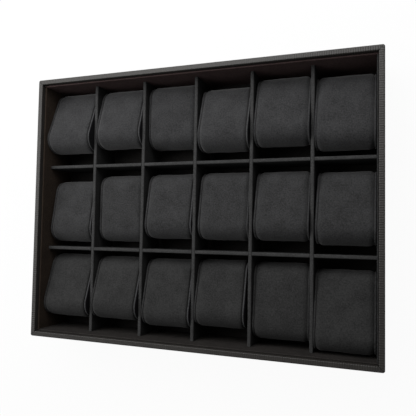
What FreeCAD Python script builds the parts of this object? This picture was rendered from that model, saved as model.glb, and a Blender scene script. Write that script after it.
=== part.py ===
import FreeCAD, Part
import math
import os

# Watch display tray: a leatherette-wrapped board box with a suede-lined inside, a grid of
# cross-lapped dividers, and a removable pillow in every compartment.
# Millimetres and degrees. X runs along the long side, Y from the front wall to the back wall,
# Z up. The origin is at the centre of the underside.

# Whole tray
tray_length = 350.0
tray_width = 271.0
inner_depth = 55.0
corner_radius = 2.0
rim_outer_edge_radius = 1.2
rim_inner_edge_radius = 0.8

# Boards of the box
wall_board_thickness = 3.8
base_board_thickness = 3.0

# Leatherette wrap: outside faces, rim, turned in behind the liners and under the base
wrap_thickness = 0.6
wrap_turn_in = 14.0
hem_width = 14.0

# Felt sheet on the underside
felt_thickness = 0.6
felt_inset = 8.0
felt_corner_radius = 4.0

# Lining inside the box
liner_thickness = 1.5
liner_drop = 4.9
liner_edge_radius = 0.7
floor_lining_thickness = 0.8

# Dividers, cross-lapped into a grid
column_count = 6
row_count = 3
divider_thickness = 3.4
divider_drop = 17.0
divider_edge_radius = 1.0
divider_end_gap = 0.2
lap_clearance = 0.1

# Pillows, each a crowned cushion between two stiff end panels, sized by what their compartment
# leaves: a little play at each end, and front to back room for the strap
pillow_end_play = 1.3
strap_room = 15.0
pillow_thickness = 33.0
pillow_corner_radius = 15.0
corner_steps = 7
end_panel_thickness = 2.0
end_panel_inset = 1.4
cushion_end_inset = 1.9
cushion_shoulder_inset = 0.5
cushion_shoulder_width = 4.0

# Room round a pillow in its compartment
pillow_floor_gap = 0.3
pillow_wall_gap = 0.5
pillow_side_gap = 0.3

# How each pillow lies, row by row from the back wall and from left to right: its roll about X,
# where a negative roll lowers the edge towards the back wall
pillow_rolls = [
    [-21.8, -17.9, 0.3, -19.3, -17.6, -18.2],
    [-10.5, 0.0, -11.8, -10.1, -16.0, -22.0],
    [-19.2, -19.0, -14.9, -15.5, -6.0, -16.2],
]

# Share of the strap room that each pillow leaves free, a plumper one less than a flatter one
strap_room_shares = [
    [0.86, 1.20, 1.14, 1.10, 0.94, 0.72],
    [1.09, 0.85, 1.08, 1.04, 1.08, 0.90],
    [1.04, 1.16, 0.98, 1.16, 0.74, 0.62],
]

# Share of the end play that each pillow leaves, a wider one less than a narrower one
end_play_shares = [
    [0.23, 0.58, 0.54, 1.00, 0.65, 0.81],
    [1.00, 1.00, 1.00, 1.00, 0.77, 0.77],
    [0.23, 0.54, 0.85, 1.15, 0.46, 0.85],
]

# Share of the free room in Y by which each pillow lies towards the back wall
pillow_back_shares = [
    [0.77, 0.76, 0.77, -0.06, 0.54, -0.10],
    [-0.47, -0.08, 0.20, 0.22, 0.22, -0.05],
    [0.50, 0.43, 0.24, 0.50, 0.0, -0.99],
]

# Share of the free room in X by which each pillow lies to the right
pillow_right_shares = [
    [0.0, 1.0, 0.5, 1.0, 0.64, 1.0],
    [1.0, 1.0, 1.0, 1.0, 1.0, 1.0],
    [0.0, 1.0, 1.0, -0.67, -1.0, 1.0],
]

# Heights, from the underside up
hem_bottom = felt_thickness
base_bottom = hem_bottom + wrap_thickness
base_top = base_bottom + base_board_thickness
floor_top = base_top + floor_lining_thickness
rim_top = floor_top + inner_depth
wall_top = rim_top - wrap_thickness
turn_in_bottom = rim_top - wrap_turn_in
liner_top = rim_top - liner_drop
divider_top = rim_top - divider_drop
divider_height = divider_top - floor_top

# Distances in from the outer face of the tray
wall_outer_inset = wrap_thickness
wall_inner_inset = wall_outer_inset + wall_board_thickness
rim_width = wall_inner_inset + wrap_thickness
clear_inset = rim_width + liner_thickness

# The clear inside, and one compartment
clear_length = tray_length - 2 * clear_inset
clear_width = tray_width - 2 * clear_inset
cell_length = (clear_length - (column_count - 1) * divider_thickness) / column_count
cell_width = (clear_width - (row_count - 1) * divider_thickness) / row_count
column_pitch = cell_length + divider_thickness
row_pitch = cell_width + divider_thickness

# A shape that cuts right through another starts and ends this far outside it
overrun = 1.0


def block(x_size, y_size, low, high):
    """A box centred on the Z axis."""
    corner = FreeCAD.Vector(-x_size / 2, -y_size / 2, low)
    return Part.makeBox(x_size, y_size, high - low, corner)


def inset_block(inset, low, high):
    """A box that follows the tray's outer faces at a distance inside them."""
    return block(tray_length - 2 * inset, tray_width - 2 * inset, low, high)


def upright_edges(shape):
    """The edges of a box that run along Z."""
    found = []
    for edge in shape.Edges:
        start, end = edge.Vertexes[0].Point, edge.Vertexes[-1].Point
        if abs(start.x - end.x) + abs(start.y - end.y) < abs(start.z - end.z):
            found.append(edge)
    return found


def level_edges(shape, level, half_length, half_width):
    """The edges at one height that lie inside a rectangle centred on the Z axis."""
    near = wrap_thickness / 2
    found = []
    for edge in shape.Edges:
        box = edge.BoundBox
        at_level = abs(box.ZMin - level) < near and abs(box.ZMax - level) < near
        within = max(-box.XMin, box.XMax) < half_length and max(-box.YMin, box.YMax) < half_width
        if at_level and within:
            found.append(edge)
    return found


def rounded_block(inset, low, high):
    """The tray's outline at a distance inside its outer faces, with rounded upright corners."""
    shape = inset_block(inset, low, high)
    return shape.makeFillet(corner_radius - inset, upright_edges(shape))


def leatherette_wrap():
    """One skin over the outside and the rim, turned in at the top and hemmed underneath."""
    skin = rounded_block(0, hem_bottom, rim_top)
    rim_edges = level_edges(skin, rim_top, tray_length, tray_width)
    skin = skin.makeFillet(rim_outer_edge_radius, rim_edges)
    skin = skin.cut(rounded_block(wall_outer_inset, base_bottom, wall_top))
    skin = skin.cut(inset_block(rim_width, wall_top - overrun, rim_top + overrun))
    skin = skin.cut(inset_block(hem_width, hem_bottom - overrun, base_bottom + overrun))
    turn_in = inset_block(wall_inner_inset, turn_in_bottom, wall_top)
    turn_in = turn_in.cut(inset_block(rim_width, turn_in_bottom - overrun, wall_top + overrun))
    skin = skin.fuse(turn_in).removeSplitter()
    half_length = tray_length / 2 - wall_inner_inset
    half_width = tray_width / 2 - wall_inner_inset
    inner_edges = level_edges(skin, rim_top, half_length, half_width)
    return skin.makeFillet(rim_inner_edge_radius, inner_edges)


def underside_felt():
    """A felt sheet over the hem, pressed up to the base board inside it."""
    sheet = inset_block(felt_inset, 0, felt_thickness)
    sheet = sheet.makeFillet(felt_corner_radius, upright_edges(sheet))
    raised = inset_block(hem_width, felt_thickness, base_bottom)
    return sheet.fuse(raised)


def base_board():
    """The bottom board, which carries the four walls."""
    return rounded_block(wall_outer_inset, base_bottom, base_top)


def long_wall_board(side):
    """The board along the front (-1) or back (1), with rounded upright outer corners."""
    outline = rounded_block(wall_outer_inset, base_top, wall_top)
    middle = side * (tray_width / 2 - wall_outer_inset - wall_board_thickness / 2)
    slab = Part.makeBox(
        tray_length,
        wall_board_thickness,
        wall_top - base_top,
        FreeCAD.Vector(-tray_length / 2, middle - wall_board_thickness / 2, base_top),
    )
    return outline.common(slab)


def short_wall_board(side):
    """The board at the left (-1) or right (1), butted between the two long ones."""
    middle = side * (tray_length / 2 - wall_outer_inset - wall_board_thickness / 2)
    shape = block(wall_board_thickness, tray_width - 2 * wall_inner_inset, base_top, wall_top)
    return shape.translated(FreeCAD.Vector(middle, 0, 0))


def rounded_top(shape, radius):
    """Rounds the two longest top edges of a thin upright board."""
    top = shape.BoundBox.ZMax
    level = [edge for edge in shape.Edges if abs(edge.BoundBox.ZMin - top) < lap_clearance]
    level.sort(key=lambda edge: edge.Length)
    return shape.makeFillet(radius, level[-2:])


def long_liner(side):
    """The suede-covered lining board along the front (-1) or back (1)."""
    shape = block(tray_length - 2 * rim_width, liner_thickness, base_top, liner_top)
    shape = rounded_top(shape, liner_edge_radius)
    middle = side * (tray_width / 2 - rim_width - liner_thickness / 2)
    return shape.translated(FreeCAD.Vector(0, middle, 0))


def short_liner(side):
    """The lining board at the left (-1) or right (1), butted between the two long ones."""
    shape = block(liner_thickness, clear_width, base_top, liner_top)
    shape = rounded_top(shape, liner_edge_radius)
    middle = side * (tray_length / 2 - rim_width - liner_thickness / 2)
    return shape.translated(FreeCAD.Vector(middle, 0, 0))


def floor_lining():
    """The suede sheet on the floor, between the four liners."""
    return inset_block(clear_inset, base_top, floor_top)


def column_divider_x(index):
    """Where a divider between two columns stands, counted from the left."""
    return (index - column_count / 2) * column_pitch


def row_divider_y(index):
    """Where a divider between two rows stands, counted from the front."""
    return (index - row_count / 2) * row_pitch


def lap_slot(x_centre, y_centre, low, high):
    """The room that a crossing divider takes in a lap."""
    size = divider_thickness + 2 * lap_clearance
    corner = FreeCAD.Vector(x_centre - size / 2, y_centre - size / 2, low)
    return Part.makeBox(size, size, high - low, corner)


def row_divider(index):
    """A divider along X, slotted from above for every divider that crosses it."""
    length = clear_length - 2 * divider_end_gap
    shape = rounded_top(block(length, divider_thickness, floor_top, divider_top), divider_edge_radius)
    y_place = row_divider_y(index)
    shape = shape.translated(FreeCAD.Vector(0, y_place, 0))
    slot_floor = floor_top + divider_height / 2 - lap_clearance
    for column in range(1, column_count):
        slot = lap_slot(column_divider_x(column), y_place, slot_floor, divider_top + overrun)
        shape = shape.cut(slot)
    return shape


def column_divider(index):
    """A divider along Y, slotted from below for every divider that crosses it."""
    length = clear_width - 2 * divider_end_gap
    shape = rounded_top(block(divider_thickness, length, floor_top, divider_top), divider_edge_radius)
    x_place = column_divider_x(index)
    shape = shape.translated(FreeCAD.Vector(x_place, 0, 0))
    slot_roof = floor_top + divider_height / 2 + lap_clearance
    for row in range(1, row_count):
        slot = lap_slot(x_place, row_divider_y(row), floor_top - overrun, slot_roof)
        shape = shape.cut(slot)
    return shape


def pillow_width(row, column):
    """How far a pillow reaches from end to end; row 0 is at the back wall."""
    return cell_length - 2 * pillow_end_play * end_play_shares[row][column]


def pillow_depth(row, column):
    """How far a pillow reaches front to back."""
    return cell_width - strap_room * strap_room_shares[row][column]


def oval(depth, x_place, inset):
    """The pillow's side outline, drawn in all round, with each round corner in equal steps."""
    radius = pillow_corner_radius - inset
    flat_y = depth / 2 - pillow_corner_radius
    flat_z = pillow_thickness / 2 - pillow_corner_radius
    points = []
    for quarter in range(4):
        y_side = 1 if quarter in (0, 3) else -1
        z_side = 1 if quarter in (0, 1) else -1
        for step in range(corner_steps + 1):
            angle = (quarter + step / corner_steps) * math.pi / 2
            y = y_side * flat_y + radius * math.cos(angle)
            z = z_side * flat_z + radius * math.sin(angle)
            points.append(FreeCAD.Vector(x_place, y, z))
    points.append(points[0])
    return Part.makePolygon(points)


def cushion(width, depth):
    """The suede-wrapped foam: fullest in the middle and drawn in towards both ends."""
    half = width / 2 - end_panel_thickness
    shoulder = half - cushion_shoulder_width
    sections = [
        oval(depth, -half, cushion_end_inset),
        oval(depth, -shoulder, cushion_shoulder_inset),
        oval(depth, 0, 0),
        oval(depth, shoulder, cushion_shoulder_inset),
        oval(depth, half, cushion_end_inset),
    ]
    return Part.makeLoft(sections, True, True)


def end_panels(width, depth):
    """The two stiff suede-covered panels that close the ends of the cushion."""
    left = Part.Face(oval(depth, -width / 2, end_panel_inset))
    left = left.extrude(FreeCAD.Vector(end_panel_thickness, 0, 0))
    right = Part.Face(oval(depth, width / 2, end_panel_inset))
    right = right.extrude(FreeCAD.Vector(-end_panel_thickness, 0, 0))
    return Part.makeCompound([left, right])


def half_reach(roll, depth):
    """How far a rolled pillow reaches from its centre in Y and in Z."""
    cosine = math.cos(math.radians(roll))
    sine = abs(math.sin(math.radians(roll)))
    flat_y = depth / 2 - pillow_corner_radius
    flat_z = pillow_thickness / 2 - pillow_corner_radius
    reach_y = flat_y * cosine + flat_z * sine + pillow_corner_radius
    reach_z = flat_y * sine + flat_z * cosine + pillow_corner_radius
    return reach_y, reach_z


def laid_in_cell(shape, row, column):
    """Rolls a pillow piece and lays it in its compartment."""
    roll = pillow_rolls[row][column]
    reach_y, reach_z = half_reach(roll, pillow_depth(row, column))
    room_x = (cell_length - pillow_width(row, column)) / 2 - pillow_side_gap
    room_y = cell_width / 2 - reach_y - pillow_wall_gap
    cell_x = (column - (column_count - 1) / 2) * column_pitch
    cell_y = ((row_count - 1) / 2 - row) * row_pitch
    x_place = cell_x + pillow_right_shares[row][column] * room_x
    y_place = cell_y + pillow_back_shares[row][column] * room_y
    z_place = floor_top + pillow_floor_gap + reach_z
    rolled = shape.rotated(FreeCAD.Vector(0, 0, 0), FreeCAD.Vector(1, 0, 0), roll)
    return rolled.translated(FreeCAD.Vector(x_place, y_place, z_place))


def save(name, shape):
    """Writes one sub-part."""
    shape.exportStep("parts/" + name + ".step")


def main():
    os.makedirs("parts", exist_ok=True)
    save("leatherette_wrap", leatherette_wrap())
    save("underside_felt", underside_felt())
    save("base_board", base_board())
    save("wall_board_front", long_wall_board(-1))
    save("wall_board_back", long_wall_board(1))
    save("wall_board_left", short_wall_board(-1))
    save("wall_board_right", short_wall_board(1))
    save("liner_front", long_liner(-1))
    save("liner_back", long_liner(1))
    save("liner_left", short_liner(-1))
    save("liner_right", short_liner(1))
    save("floor_lining", floor_lining())
    for index in range(1, row_count):
        save("row_divider_%d" % index, row_divider(index))
    for index in range(1, column_count):
        save("column_divider_%d" % index, column_divider(index))
    for row in range(row_count):
        for column in range(column_count):
            name = "pillow_r%dc%d" % (row + 1, column + 1)
            size = pillow_width(row, column), pillow_depth(row, column)
            save(name + "_cushion", laid_in_cell(cushion(*size), row, column))
            save(name + "_end_panels", laid_in_cell(end_panels(*size), row, column))


main()
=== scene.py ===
import bpy
import bmesh
import math
from mathutils import Matrix, Vector, noise


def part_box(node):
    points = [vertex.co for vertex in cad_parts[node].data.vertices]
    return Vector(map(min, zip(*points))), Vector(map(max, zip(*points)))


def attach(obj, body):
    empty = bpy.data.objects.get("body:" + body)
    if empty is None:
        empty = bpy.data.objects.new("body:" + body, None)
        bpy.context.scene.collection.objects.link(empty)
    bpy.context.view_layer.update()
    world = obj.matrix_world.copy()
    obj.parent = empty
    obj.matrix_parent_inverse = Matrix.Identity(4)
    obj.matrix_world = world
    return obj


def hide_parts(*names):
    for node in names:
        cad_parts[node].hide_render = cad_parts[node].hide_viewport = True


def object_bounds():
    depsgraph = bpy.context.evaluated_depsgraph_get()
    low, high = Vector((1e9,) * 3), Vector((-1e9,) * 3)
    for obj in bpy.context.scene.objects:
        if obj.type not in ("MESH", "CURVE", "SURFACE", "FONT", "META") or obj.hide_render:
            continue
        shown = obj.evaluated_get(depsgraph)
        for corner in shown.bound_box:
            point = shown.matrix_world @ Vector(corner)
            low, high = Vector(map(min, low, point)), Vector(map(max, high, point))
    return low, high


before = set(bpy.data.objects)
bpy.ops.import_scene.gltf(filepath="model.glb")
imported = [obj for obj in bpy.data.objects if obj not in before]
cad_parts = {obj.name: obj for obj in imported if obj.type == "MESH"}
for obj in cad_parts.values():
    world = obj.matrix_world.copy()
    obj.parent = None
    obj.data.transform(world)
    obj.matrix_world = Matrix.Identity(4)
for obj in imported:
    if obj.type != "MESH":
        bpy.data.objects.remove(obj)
cad_low, cad_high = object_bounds()

MM = 0.001

# Camera, fitted to the straight lines of the tray
LENS_MM = 42.36
CAMERA_PLACE = (0.17452, -0.02346, 0.48568)
CAMERA_TURNS = ((19.818, "Y"), (2.70, "X"), (0.979, "Z"))
CAMERA_SHIFT = (-0.0010, 0.0012)
NEAR_CLIP = 0.01

# Light and floor
KEY_PLACE = (-0.20, 0.28, 0.45)
KEY_AIM = (-0.17, 0.11, 0.0)
KEY_TURN = 26.0
KEY_LENGTH = 1.2
KEY_DEPTH = 0.45
KEY_WATTS = 5.2
FILL_STRENGTH = 0.17
FLOOR_SIZE = 6.0
FLOOR_WHITE_SHARE = 0.95

# The nap of the suede
NAP_PATCH = 14 * MM
NAP_PATCH_SHARE = 0.35
NAP_DARKEST = 0.45
NAP_LIGHTEST = 0.9
NAP_HEIGHT = 0.25 * MM
UPRIGHT_SLOPE = 0.3

# The grain of the leatherette, and the corners where it mitres
TRAY_HALF_LENGTH = cad_high[0]
TRAY_HALF_WIDTH = cad_high[1]
MITRE_HALF_WIDTH = 0.15 * MM
MITRE_EDGE = 0.5 * MM
RIB_PITCH = 2.0 * MM
WAVE_RADIANS = 20
GLOSS_PATCH = 9 * MM
PEBBLE_SIZE = 1.0 * MM
GRAIN_HEIGHT = 0.25 * MM

# The fibreboard
CHIP_SIZE = 2 * MM

# A pillow's foam, cover and stiff end panels
CORNER_RADIUS = 15 * MM
CORNER_STEPS = 9
PANEL_THICKNESS = 2.0 * MM
PANEL_INSET = 1.4 * MM
PANEL_EDGE_RADIUS = 0.6 * MM
SEAM_WIDTH = 3.5 * MM
SEAM_DEPTH = 1.4 * MM
GROOVE_WIDTH = 0.8 * MM
GROOVE_DEPTH = 3.0 * MM
END_WIDTH = 2 * SEAM_WIDTH

# The pillows, by row and column, whose left or right end is tight against what stands beside it
TIGHT_LEFT = ("r1c6", "r3c6")
TIGHT_RIGHT = ("r1c3", "r1c5", "r1c6", "r2c2", "r2c4", "r2c5", "r2c6", "r3c5", "r3c6")
TIGHT_PLAY = 0.2 * MM

# The cuts that let the cover bend
SEAM_CUT_SHARES = (0.0, 0.05, 0.15, 0.35, 0.65, 1.0)
FIRST_CUT = 1.7 * SEAM_WIDTH
CUT_STEP_ALONG = 2.6 * MM
CUT_STEP_ACROSS = 2.8 * MM

# The swell of the cover and the unevenness of the foam
FOAM_INSET = 0.4 * MM
FOAM_SWELL = 0.6 * MM
HELD_WIDTH = 1.5 * MM
PRESSURE = 4.0
SWELL_FRAMES = 20
LUMP_SIZE = 24 * MM
LUMP_HEIGHT = 0.5 * MM
LUMP_SINK_SHARE = 0.3
LUMP_FADE = 3 * SEAM_WIDTH
LUMP_STEPS = (7.3, 3.1, 5.7)

# How near or how steep counts, where points, edges and faces are picked
SEWN_PLAY = 0.02 * MM
SAME_X = 0.1 * MM
OUTER_FACE_SLOPE = 0.2
SMOOTH_ANGLE = 40


def only(piece):
    """Selects one object and nothing else."""
    if bpy.context.object and bpy.context.object.mode != "OBJECT":
        bpy.ops.object.mode_set(mode="OBJECT")
    bpy.ops.object.select_all(action="DESELECT")
    piece.select_set(True)
    bpy.context.view_layer.objects.active = piece


def select_edges(piece, wanted):
    """In edit mode, selects the edges whose two ends pass the test."""
    bpy.ops.mesh.select_mode(type="EDGE")
    bpy.ops.mesh.select_all(action="DESELECT")
    shape = bmesh.from_edit_mesh(piece.data)
    for edge in shape.edges:
        edge.select = wanted(edge.verts[0].co, edge.verts[1].co)
    shape.select_flush_mode()
    bmesh.update_edit_mesh(piece.data)


def cut_across(axis, places):
    """In edit mode, cuts a loop right round the piece at each place along an axis."""
    direction = Vector([1.0 if axis == i else 0.0 for i in range(3)])
    for place in places:
        bpy.ops.mesh.select_all(action="SELECT")
        bpy.ops.mesh.bisect(plane_co=direction * place, plane_no=direction)


def evenly(low, high, step):
    """Places from low to high at about one step apart, both ends included."""
    count = max(1, round((high - low) / step))
    return [low + (high - low) * i / count for i in range(count + 1)]


def colour(hex_code):
    """A linear colour from its sRGB hex."""
    values = [int(hex_code[i:i + 2], 16) / 255 for i in (1, 3, 5)]
    return [v / 12.92 if v <= 0.04045 else ((v + 0.055) / 1.055) ** 2.4 for v in values] + [1.0]


def add_node(tree, kind, links=None, **settings):
    """Adds a node. In links, a socket's name or number has the output that it is joined to, or its
    value, and the settings are fields of the node itself."""
    node = tree.nodes.new(kind)
    for name, value in settings.items():
        setattr(node, name, value)
    for socket, source in (links or {}).items():
        if isinstance(source, bpy.types.NodeSocket):
            tree.links.new(source, node.inputs[socket])
        else:
            node.inputs[socket].default_value = source
    return node


def new_material(name):
    """A material with its node tree cleared, but for the output."""
    material = bpy.data.materials.new(name)
    material.use_nodes = True
    tree = material.node_tree
    tree.nodes.clear()
    output = add_node(tree, "ShaderNodeOutputMaterial")
    return material, tree, output


def suede(name, dark, light, fleck_mm=1.2, sheen=0.0, upright=1.0):
    """Microfibre suede, a short brushed nap: no gloss, fine pale and dark flecks, faint broad
    patches where the nap lies another way, and a soft sheen at a slant where it stands up. On
    upright faces it keeps only the share of its colour that upright gives. This is painted shade:
    the sides are darkened to stand in for the shade that falls in the narrow gaps."""
    material, tree, output = new_material(name)
    place = add_node(tree, "ShaderNodeTexCoord").outputs["Object"]
    patches = add_node(tree, "ShaderNodeTexNoise", {
        "Vector": place, "Scale": 1 / NAP_PATCH, "Detail": 2.0, "Roughness": 0.5})
    # the fibres are about 0.1 mm, too fine to show, so the flecks are drawn as coarse as fleck_mm
    flecks = add_node(tree, "ShaderNodeTexNoise", {
        "Vector": place, "Scale": 1 / (fleck_mm * MM), "Detail": 2.0, "Roughness": 0.7})
    faint = add_node(tree, "ShaderNodeMath", {0: patches.outputs[0], 1: NAP_PATCH_SHARE},
                     operation="MULTIPLY")
    both = add_node(tree, "ShaderNodeMath", {0: faint.outputs[0], 1: flecks.outputs[0]},
                    operation="ADD")
    spread = add_node(tree, "ShaderNodeMapRange", {
        "Value": both.outputs[0], "From Min": NAP_DARKEST, "From Max": NAP_LIGHTEST})
    tint = add_node(tree, "ShaderNodeMix", {
        0: spread.outputs[0], 6: colour(dark), 7: colour(light)}, data_type="RGBA")
    # painted shade: upright faces are mixed towards black by the share that upright gives
    if upright < 1.0:
        facing = add_node(tree, "ShaderNodeSeparateXYZ", {
            0: add_node(tree, "ShaderNodeNewGeometry").outputs["True Normal"]})
        painted_side_shade = add_node(tree, "ShaderNodeMapRange", {
            "Value": facing.outputs[2], "From Max": UPRIGHT_SLOPE, "To Min": upright})
        tint = add_node(tree, "ShaderNodeMix", {
            0: painted_side_shade.outputs[0], 6: colour("#000000"), 7: tint.outputs[2]}, data_type="RGBA")
    bump = add_node(tree, "ShaderNodeBump", {
        "Height": flecks.outputs[0], "Strength": 0.3, "Distance": NAP_HEIGHT})
    shader = add_node(tree, "ShaderNodeBsdfPrincipled", {
        "Base Color": tint.outputs[2], "Roughness": 0.95, "Normal": bump.outputs[0],
        "Specular IOR Level": 0.1, "Sheen Weight": sheen, "Sheen Roughness": 0.5})
    tree.links.new(shader.outputs[0], output.inputs[0])
    return material


def leatherette(name):
    """Polyurethane leatherette with an embossed grain: a soft gloss broken by fine ribs that run
    across every side and by pebbles, and a thin dark mitre where two sides meet at a corner."""
    material, tree, output = new_material(name)
    place = add_node(tree, "ShaderNodeTexCoord").outputs["Object"]
    axes = add_node(tree, "ShaderNodeSeparateXYZ", {0: place})
    reach = []
    for axis, half in ((0, TRAY_HALF_LENGTH), (1, TRAY_HALF_WIDTH)):
        size = add_node(tree, "ShaderNodeMath", {0: axes.outputs[axis]}, operation="ABSOLUTE")
        reach.append(add_node(tree, "ShaderNodeMath", {0: size.outputs[0], 1: half},
                              operation="SUBTRACT"))
    lead = add_node(tree, "ShaderNodeMath", {0: reach[0].outputs[0], 1: reach[1].outputs[0]},
                    operation="SUBTRACT")
    short_side = add_node(tree, "ShaderNodeMath", {0: lead.outputs[0], 1: 0.0},
                          operation="GREATER_THAN")
    along = add_node(tree, "ShaderNodeMix", {
        0: short_side.outputs[0], 2: axes.outputs[0], 3: axes.outputs[1]}, data_type="FLOAT")
    off_mitre = add_node(tree, "ShaderNodeMath", {0: lead.outputs[0]}, operation="ABSOLUTE")
    mitre = add_node(tree, "ShaderNodeMapRange", {
        "Value": off_mitre.outputs[0], "From Min": MITRE_HALF_WIDTH, "From Max": MITRE_EDGE})
    lengthwise = add_node(tree, "ShaderNodeCombineXYZ", {0: along.outputs[0]})
    # a wave texture of scale 1 runs through 20 radians in each metre
    ribs = add_node(tree, "ShaderNodeTexWave", {
        "Vector": lengthwise.outputs[0], "Scale": 2 * math.pi / (WAVE_RADIANS * RIB_PITCH)})
    broad = add_node(tree, "ShaderNodeTexNoise", {
        "Vector": place, "Scale": 1 / GLOSS_PATCH, "Detail": 2.0})
    pebbles = add_node(tree, "ShaderNodeTexNoise", {
        "Vector": place, "Scale": 1 / PEBBLE_SIZE, "Detail": 1.0})
    grain = add_node(tree, "ShaderNodeMath", {0: pebbles.outputs[0], 1: ribs.outputs["Fac"]},
                     operation="ADD")
    height = add_node(tree, "ShaderNodeMath", {0: grain.outputs[0], 1: mitre.outputs[0]},
                      operation="MULTIPLY")
    bump = add_node(tree, "ShaderNodeBump", {
        "Height": height.outputs[0], "Strength": 0.6, "Distance": GRAIN_HEIGHT})
    tint = add_node(tree, "ShaderNodeMix", {
        0: broad.outputs[0], 6: colour("#272523"), 7: colour("#363330")}, data_type="RGBA")
    seam = add_node(tree, "ShaderNodeMix", {
        0: mitre.outputs[0], 6: colour("#0e0e0f"), 7: tint.outputs[2]}, data_type="RGBA")
    rough = add_node(tree, "ShaderNodeMapRange", {
        "Value": broad.outputs[0], "To Min": 0.42, "To Max": 0.55})
    shader = add_node(tree, "ShaderNodeBsdfPrincipled", {
        "Base Color": seam.outputs[2], "Roughness": rough.outputs[0], "Normal": bump.outputs[0],
        "Specular IOR Level": 0.5})
    tree.links.new(shader.outputs[0], output.inputs[0])
    return material


def plain_board(name):
    """Raw fibreboard, hidden inside the wrap: pale brown with fine chips."""
    material, tree, output = new_material(name)
    place = add_node(tree, "ShaderNodeTexCoord").outputs["Object"]
    chips = add_node(tree, "ShaderNodeTexNoise", {
        "Vector": place, "Scale": 1 / CHIP_SIZE, "Detail": 3.0})
    tint = add_node(tree, "ShaderNodeMix", {
        0: chips.outputs[0], 6: colour("#8a6f52"), 7: colour("#a98c6b")}, data_type="RGBA")
    shader = add_node(tree, "ShaderNodeBsdfPrincipled", {
        "Base Color": tint.outputs[2], "Roughness": 0.85})
    tree.links.new(shader.outputs[0], output.inputs[0])
    return material


def dress(piece, *materials):
    """Gives a piece its materials, one for each face index in use."""
    indexes = [face.material_index for face in piece.data.polygons]
    piece.data.materials.clear()
    for material in materials:
        piece.data.materials.append(material)
    if len(materials) > 1:
        piece.data.polygons.foreach_set("material_index", indexes)


def rounded_slab(name, length, depth, thickness, radius, steps):
    """A block along X whose four long edges are rounded; it is left in edit mode."""
    bpy.ops.object.select_all(action="DESELECT")
    bpy.ops.mesh.primitive_cube_add(size=1)
    slab = bpy.context.object
    slab.name = name
    slab.scale = (length, depth, thickness)
    bpy.ops.object.transform_apply(location=False, rotation=False, scale=True)
    bpy.ops.object.mode_set(mode="EDIT")
    select_edges(slab, lambda a, b: abs(a.x - b.x) > length / 2)
    bpy.ops.mesh.bevel(offset=radius, segments=steps, profile=0.5)
    return slab


def foam_block(width, depth, thickness):
    """The pillow's foam before its cover swells, cut into even squares."""
    inner = width - 2 * PANEL_THICKNESS
    foam = rounded_slab("cushion_start", inner, depth - 2 * FOAM_INSET, thickness - 2 * FOAM_INSET,
                        CORNER_RADIUS - FOAM_INSET, CORNER_STEPS)
    flat_y = depth / 2 - CORNER_RADIUS
    half = inner / 2
    sewn = half - GROOVE_WIDTH
    near_end = [sewn - SEAM_WIDTH * share for share in SEAM_CUT_SHARES]
    along = evenly(-half + FIRST_CUT, half - FIRST_CUT, CUT_STEP_ALONG)
    cut_across(0, along + near_end + [-x for x in near_end])
    cut_across(1, evenly(-flat_y, flat_y, CUT_STEP_ACROSS)[1:-1])
    cut_across(2, [0.0])
    bpy.ops.object.mode_set(mode="OBJECT")
    return foam


def swell(foam, half):
    """Blows the cover up over the foam while the two ends are held, and caps how far it moves."""
    only(foam)
    start = [v.co.copy() for v in foam.data.vertices]
    held = foam.vertex_groups.new(name="held")
    held.add([i for i, co in enumerate(start) if abs(co.x) > half - HELD_WIDTH], 1.0, "REPLACE")
    cloth = foam.modifiers.new("Cloth", "CLOTH")
    cloth.settings.quality = 6
    cloth.settings.use_pressure = True
    cloth.settings.uniform_pressure_force = PRESSURE
    cloth.settings.vertex_group_mass = "held"
    cloth.settings.tension_stiffness = 15
    cloth.settings.compression_stiffness = 15
    cloth.settings.bending_stiffness = 0.5
    cloth.settings.effector_weights.gravity = 0
    cloth.collision_settings.use_collision = False
    cloth.point_cache.frame_start = 1
    cloth.point_cache.frame_end = SWELL_FRAMES
    scene = bpy.context.scene
    for moment in range(1, SWELL_FRAMES + 1):
        scene.frame_set(moment)
    bpy.ops.object.modifier_apply(modifier="Cloth")
    scene.frame_set(1)
    for vertex, before in zip(foam.data.vertices, start):
        step = vertex.co - before
        if step.length > FOAM_SWELL:
            vertex.co = before + step * (FOAM_SWELL / step.length)
    foam.vertex_groups.clear()


def outward(co, depth, thickness):
    """The direction straight out of the pillow's side outline at a point."""
    flat_y = depth / 2 - CORNER_RADIUS
    flat_z = thickness / 2 - CORNER_RADIUS
    past_y = co.y - max(-flat_y, min(flat_y, co.y))
    past_z = co.z - max(-flat_z, min(flat_z, co.z))
    return Vector((0, past_y, past_z)).normalized()


def draw_in_ends(cushion, half, depth, thickness, gaping):
    """Rounds the cover in towards each end. Where the right end is gaping, a narrow groove shows
    beside its end panel; elsewhere the cover runs tight on to the panel."""
    for vertex in cushion.data.vertices:
        from_groove = half - abs(vertex.co.x) - GROOVE_WIDTH
        share = min(1.0, 1 - from_groove / SEAM_WIDTH)
        if share <= 0:
            continue
        if vertex.co.x < 0 or not gaping:
            turned_in = SEAM_DEPTH * share ** 2
        elif from_groove < SEWN_PLAY:
            turned_in = GROOVE_DEPTH
        else:
            turned_in = SEAM_DEPTH * (1 - math.sqrt(1 - share ** 2))
        vertex.co -= outward(vertex.co, depth, thickness) * turned_in


def make_cushion(width, depth, thickness, gaping):
    """The suede-covered foam, at the origin and not rolled."""
    cushion = foam_block(width, depth, thickness)
    half = width / 2 - PANEL_THICKNESS
    swell(cushion, half)
    draw_in_ends(cushion, half, depth, thickness, gaping)
    only(cushion)
    smooth = cushion.modifiers.new("Subdivision", "SUBSURF")
    smooth.levels = smooth.render_levels = 1
    bpy.ops.object.modifier_apply(modifier="Subdivision")
    bpy.ops.object.shade_smooth()
    return cushion


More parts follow.
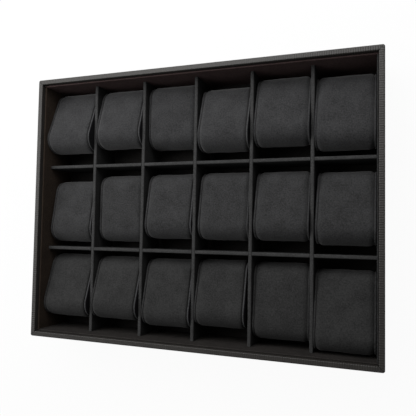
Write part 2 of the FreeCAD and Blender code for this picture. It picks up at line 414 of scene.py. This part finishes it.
def make_end_panels(width, depth, thickness):
    """The two stiff panels at the ends of a pillow, with soft edges. By material index, the left
    edge is 0, the right edge 1 and both outer faces 2."""
    panels = []
    for side in (-1, 1):
        panel = rounded_slab("end_panel", PANEL_THICKNESS, depth - 2 * PANEL_INSET,
                             thickness - 2 * PANEL_INSET, CORNER_RADIUS - PANEL_INSET, CORNER_STEPS)
        select_edges(panel, lambda a, b: abs(a.x - b.x) < SAME_X)
        bpy.ops.mesh.bevel(offset=PANEL_EDGE_RADIUS, segments=3, profile=0.5)
        bpy.ops.object.mode_set(mode="OBJECT")
        panel.data.transform(Matrix.Translation((side * (width - PANEL_THICKNESS) / 2, 0, 0)))
        panels.append(panel)
    only(panels[0])
    panels[1].select_set(True)
    bpy.ops.object.join()
    for face in panels[0].data.polygons:
        side = 1 if face.center.x > 0 else -1
        face.material_index = 2 if face.normal.x * side > OUTER_FACE_SLOPE else max(0, side)
    bpy.ops.object.shade_smooth_by_angle(angle=math.radians(SMOOTH_ANGLE))
    return panels[0]


def pillow_lie(node):
    """Where a pillow lies, from its end panels: its centre, its roll about X, and its width, depth
    and thickness."""
    low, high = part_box(node)
    centre = (low + high) / 2
    points = [v.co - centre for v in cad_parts[node].data.vertices]
    across = sum(p.y * p.y - p.z * p.z for p in points)
    twist = sum(2 * p.y * p.z for p in points)
    roll = 0.5 * math.atan2(twist, across)
    turned = [Matrix.Rotation(-roll, 4, "X") @ p for p in points]
    size = [2 * max(p[i] for p in turned) for i in range(3)]
    return centre, roll, (size[0], size[1] + 2 * PANEL_INSET, size[2] + 2 * PANEL_INSET)


def swell_out(cell, centre, width):
    """Where a pillow's middle lies, and how wide it is, once each tight end swells nearly up to
    the divider or wall beside it."""
    left, right = centre.x - width / 2, centre.x + width / 2
    column = int(cell[-1])
    if cell in TIGHT_LEFT:
        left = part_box("column_divider_%d" % (column - 1))[1].x + TIGHT_PLAY
    if cell in TIGHT_RIGHT:
        beside = "column_divider_%d" % column
        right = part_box(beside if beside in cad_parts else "liner_right")[0].x - TIGHT_PLAY
    return Vector(((left + right) / 2, centre.y, centre.z)), right - left


def stretch(piece, size, own_size):
    """Fits a piece to its own pillow's width and depth, and leaves its ends and corners alone."""
    flats = (size[0] / 2 - END_WIDTH, size[1] / 2 - CORNER_RADIUS)
    for vertex in piece.data.vertices:
        for axis, flat in enumerate(flats):
            share = max(-1.0, min(1.0, vertex.co[axis] / flat))
            vertex.co[axis] += (own_size[axis] - size[axis]) / 2 * share


def lumps(piece, size, number):
    """Gives a cushion the slow unevenness of its own foam, as shallow dips that end before the
    sewn ends."""
    half = size[0] / 2 - PANEL_THICKNESS
    shift = Vector([number * step for step in LUMP_STEPS])
    for vertex in piece.data.vertices:
        hold = max(0.0, min(1.0, (half - abs(vertex.co.x)) / LUMP_FADE))
        lift = noise.noise(vertex.co / LUMP_SIZE + shift) * LUMP_HEIGHT
        dip = min(0.0, lift - LUMP_HEIGHT * LUMP_SINK_SHARE)
        vertex.co += outward(vertex.co, size[1], size[2]) * dip * hold


def lay_pillows():
    """Two cushions, with a gaping and a tight right end, and one pair of end panels, made to the
    first pillow's size, copied into every compartment and fitted to the pillow that lies there."""
    names = sorted(n[:-len("_end_panels")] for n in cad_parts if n.endswith("_end_panels"))
    size = pillow_lie(names[0] + "_end_panels")[2]
    gaping_cushion = make_cushion(*size, gaping=True)
    tight_cushion = make_cushion(*size, gaping=False)
    panels = make_end_panels(*size)
    # one cloth for all the pillows, with painted light: the back row lighter and with more sheen,
    # the rows to the front darker
    row_lit_covers = {
        "r1": suede("back pillow microsuede", "#242425", "#404041", sheen=0.2),
        "r2": suede("middle pillow microsuede", "#242424", "#3f3f40", sheen=0.14),
        "r3": suede("front pillow microsuede", "#232323", "#3b3b3b", sheen=0.08),
    }
    # painted highlight: a paler suede for the right panel edge beside a gaping groove, where the
    # edge catches light
    edge = suede("pillow edge microsuede", "#303031", "#4b4b4c", sheen=0.06)
    # painted shade: near-black suede on the end panels' outer faces, for the shade at the pillow
    # ends
    face = suede("pillow end microsuede", "#101011", "#1d1d1f")
    for number, name in enumerate(names):
        centre, roll, own_size = pillow_lie(name + "_end_panels")
        cell = name.split("_")[1]
        tight = cell in TIGHT_RIGHT
        centre, width = swell_out(cell, centre, own_size[0])
        own_size = (width,) + own_size[1:]
        place = Matrix.Translation(centre) @ Matrix.Rotation(roll, 4, "X")
        cover = row_lit_covers[cell[:2]]
        cushion = tight_cushion if tight else gaping_cushion
        # the left edge takes the cover's painted row tone, a gaping right edge the painted
        # highlight, the outer faces the painted shade
        ends = (cover, cover if tight else edge, face)
        for start, kind, materials, slot in ((cushion, "_cushion", (cover,), "pillow suede"),
                                             (panels, "_end_panels", ends, "pillow end suede")):
            piece = bpy.data.objects.new(name + kind + "_covered", start.data.copy())
            bpy.context.scene.collection.objects.link(piece)
            stretch(piece, size, own_size)
            if kind == "_cushion":
                lumps(piece, own_size, number)
            piece.data.transform(place)
            dress(piece, *materials)
            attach(piece, name)
            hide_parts(name + kind)
    for start in (gaping_cushion, tight_cushion, panels):
        bpy.data.objects.remove(start)


def dress_tray():
    """Gives the tray's own pieces their materials."""
    wrap = leatherette("black leatherette")
    # the dividers' upright sides keep 0.6 of their colour, as painted shade for the gaps between
    # pillows
    lining = suede("divider microsuede", "#303030", "#474747", upright=0.6)
    # one cloth on the four walls, with painted light and shade: the back wall lighter, the front
    # and left darker, and warm brown on the back and left as painted bounced light
    lit_and_shaded_walls = {
        "liner_back": suede("back wall microsuede", "#443837", "#594a49"),
        "liner_left": suede("left wall microsuede", "#2b2420", "#3f362e"),
        "liner_front": suede("front wall microsuede", "#242221", "#373432"),
        "liner_right": suede("right wall microsuede", "#242424", "#383838"),
    }
    # painted shade: the floor lining is darker than the other lining, for the shade deep in the
    # narrow gaps
    floor = suede("floor microsuede", "#1e1d1c", "#2e2c2b")
    felt = suede("underside felt", "#1d1d1f", "#2b2b2d", fleck_mm=0.8)
    board = plain_board("fibreboard")
    own = {"leatherette_wrap": wrap, "underside_felt": felt, "floor_lining": floor, **lit_and_shaded_walls}
    for name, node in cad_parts.items():
        if name in own:
            dress(node, own[name])
        elif "divider" in name:
            dress(node, lining)
        elif "board" in name:
            dress(node, board)


def add_floor():
    """A plain pale floor, nearly white to the camera, with a faint shadow of the tray."""
    bpy.ops.object.select_all(action="DESELECT")
    bpy.ops.mesh.primitive_plane_add(size=FLOOR_SIZE)
    floor = bpy.context.object
    floor.name = "floor"
    material, tree, output = new_material("pale floor")
    path = add_node(tree, "ShaderNodeLightPath")
    share = add_node(tree, "ShaderNodeMath", {0: path.outputs["Is Camera Ray"],
                                              1: FLOOR_WHITE_SHARE}, operation="MULTIPLY")
    matte = add_node(tree, "ShaderNodeBsdfDiffuse", {"Color": colour("#f2f2f2")})
    white = add_node(tree, "ShaderNodeEmission", {"Color": colour("#ffffff"), "Strength": 1.0})
    mixed = add_node(tree, "ShaderNodeMixShader", {
        0: share.outputs[0], 1: matte.outputs[0], 2: white.outputs[0]})
    tree.links.new(mixed.outputs[0], output.inputs[0])
    dress(floor, material)


def add_light():
    """A long soft lamp above the back left, and an even pale surround that the camera sees
    white."""
    lamp = bpy.data.lights.new("key", "AREA")
    lamp.shape = "RECTANGLE"
    lamp.size = KEY_LENGTH
    lamp.size_y = KEY_DEPTH
    lamp.energy = KEY_WATTS
    key = bpy.data.objects.new("key", lamp)
    bpy.context.scene.collection.objects.link(key)
    aimed = (Vector(KEY_AIM) - Vector(KEY_PLACE)).to_track_quat("-Z", "Y").to_matrix().to_4x4()
    turned = Matrix.Rotation(math.radians(KEY_TURN), 4, "Z")
    key.matrix_world = Matrix.Translation(KEY_PLACE) @ aimed @ turned
    world = bpy.data.worlds.new("surround")
    bpy.context.scene.world = world
    world.use_nodes = True
    tree = world.node_tree
    tree.nodes.clear()
    path = add_node(tree, "ShaderNodeLightPath")
    fill = add_node(tree, "ShaderNodeBackground", {"Color": colour("#ffffff"),
                                                   "Strength": FILL_STRENGTH})
    white = add_node(tree, "ShaderNodeBackground", {"Color": colour("#ffffff"), "Strength": 1.0})
    mixed = add_node(tree, "ShaderNodeMixShader", {
        0: path.outputs["Is Camera Ray"], 1: fill.outputs[0], 2: white.outputs[0]})
    output = add_node(tree, "ShaderNodeOutputWorld")
    tree.links.new(mixed.outputs[0], output.inputs[0])


def add_camera():
    """The photograph's viewpoint."""
    lens = bpy.data.cameras.new("camera")
    lens.lens = LENS_MM
    lens.clip_start = NEAR_CLIP
    lens.shift_x, lens.shift_y = CAMERA_SHIFT
    camera = bpy.data.objects.new("camera", lens)
    bpy.context.scene.collection.objects.link(camera)
    turned = Matrix.Translation(CAMERA_PLACE)
    for angle, axis in CAMERA_TURNS:
        turned = turned @ Matrix.Rotation(math.radians(angle), 4, axis)
    camera.matrix_world = turned
    bpy.context.scene.camera = camera


bpy.context.scene.view_settings.view_transform = "Standard"
add_camera()
add_light()
add_floor()
lay_pillows()
dress_tray()
